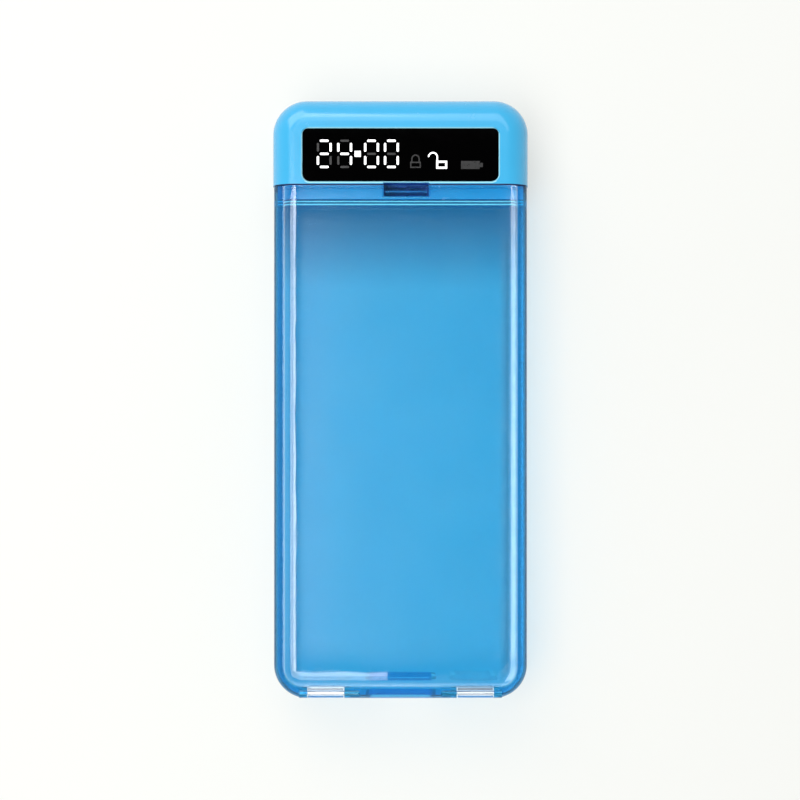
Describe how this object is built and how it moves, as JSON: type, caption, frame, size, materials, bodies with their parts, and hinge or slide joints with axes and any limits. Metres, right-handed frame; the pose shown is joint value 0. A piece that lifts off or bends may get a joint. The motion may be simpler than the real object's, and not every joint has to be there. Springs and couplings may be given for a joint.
{
  "type": "timed lock container",
  "caption": "Slim see-through storage box with a hinged clear lid, held shut by a motor-driven bolt in a timer head with a display and push buttons.",
  "frame": {"origin": "middle of the footprint, on the surface that the flat back rests on", "axes": "+Z out of the clear front, +Y along the box towards the head with the display, +X across it to the right as the display is read"},
  "size_m": [0.0886, 0.2076, 0.032],
  "materials": {
    "blue_clear": "clear tinted, polished",
    "clear": "clear, polished",
    "sky_shell": "gloss",
    "button_plastic": "satin",
    "black_gloss": "mirror gloss",
    "lit_window": "lit from behind",
    "unlit_window": "satin",
    "navy_plastic": "satin",
    "steel": "bright",
    "bolt_metal": "satin",
    "motor_can": "satin",
    "brass": "satin",
    "gear_plastic": "satin",
    "black_plastic": "satin",
    "white_plastic": "satin",
    "board": "satin",
    "tape": "matt",
    "cell_foil": "satin",
    "foam": "matt",
    "lead": "satin"
  },
  "bodies": {
    "root": {"tray": "blue_clear", "hinge_pins": "steel", "head_front_cover": "sky_shell", "head_rear_cover": "sky_shell", "display_faceplate": "black_gloss", "faceplate_tape": "tape", "segments_lit": "lit_window", "segments_unlit": "unlit_window", "display_module": "white_plastic", "main_board": "board", "board_screws": "steel", "head_screws": "steel", "tray_screws": "steel", "lock_housing": "navy_plastic", "housing_screws": "steel", "gearbox": "brass", "lock_motor": "motor_can", "motor_clamp": "black_plastic", "clamp_screw": "steel", "bolt_switch": "black_plastic", "battery_cell": "cell_foil", "battery_pad": "foam", "battery_leads": "lead", "motor_leads": "lead", "lead_connectors": "white_plastic", "charging_socket": "steel", "push_switches": "black_plastic", "buzzer": "black_plastic"},
    "lid": {"lid": "clear", "lid_catch": "clear"},
    "bolt": {"latch_bolt": "bolt_metal"},
    "pinion": {"drive_pinion": "gear_plastic", "output_shaft": "steel"},
    "minus_button": {"button_minus": "button_plastic", "plunger_minus": "gear_plastic"},
    "plus_button": {"button_plus": "button_plastic", "plunger_plus": "gear_plastic"},
    "set_button": {"button_set": "button_plastic", "plunger_set": "gear_plastic"}
  },
  "joints": [
    {"name": "lid_hinge", "type": "hinge", "parent": "root", "child": "lid", "pos_m": [0, -0.1014, 0.0284], "axis": [1, 0, 0], "range_deg": [0, 110]},
    {"name": "bolt_slide", "type": "slide", "parent": "root", "child": "bolt", "axis": [0, -1, 0], "range_m": [0, 0.0043]},
    {"name": "pinion_spin", "type": "hinge", "parent": "root", "child": "pinion", "pos_m": [0.003, 0.084, 0.0163], "axis": [-1, 0, 0], "range_deg": [0, 98.6]},
    {"name": "minus_press", "type": "slide", "parent": "root", "child": "minus_button", "axis": [0, -1, 0], "range_m": [0, 0.0005], "stiffness_N_per_m": 1500},
    {"name": "plus_press", "type": "slide", "parent": "root", "child": "plus_button", "axis": [0, -1, 0], "range_m": [0, 0.0005], "stiffness_N_per_m": 1500},
    {"name": "set_press", "type": "slide", "parent": "root", "child": "set_button", "axis": [0, -1, 0], "range_m": [0, 0.0005], "stiffness_N_per_m": 1500}
  ],
  "couplings": [
    {"joint": "pinion_spin", "follows": "bolt_slide", "rad_per_m": 400}
  ]
}
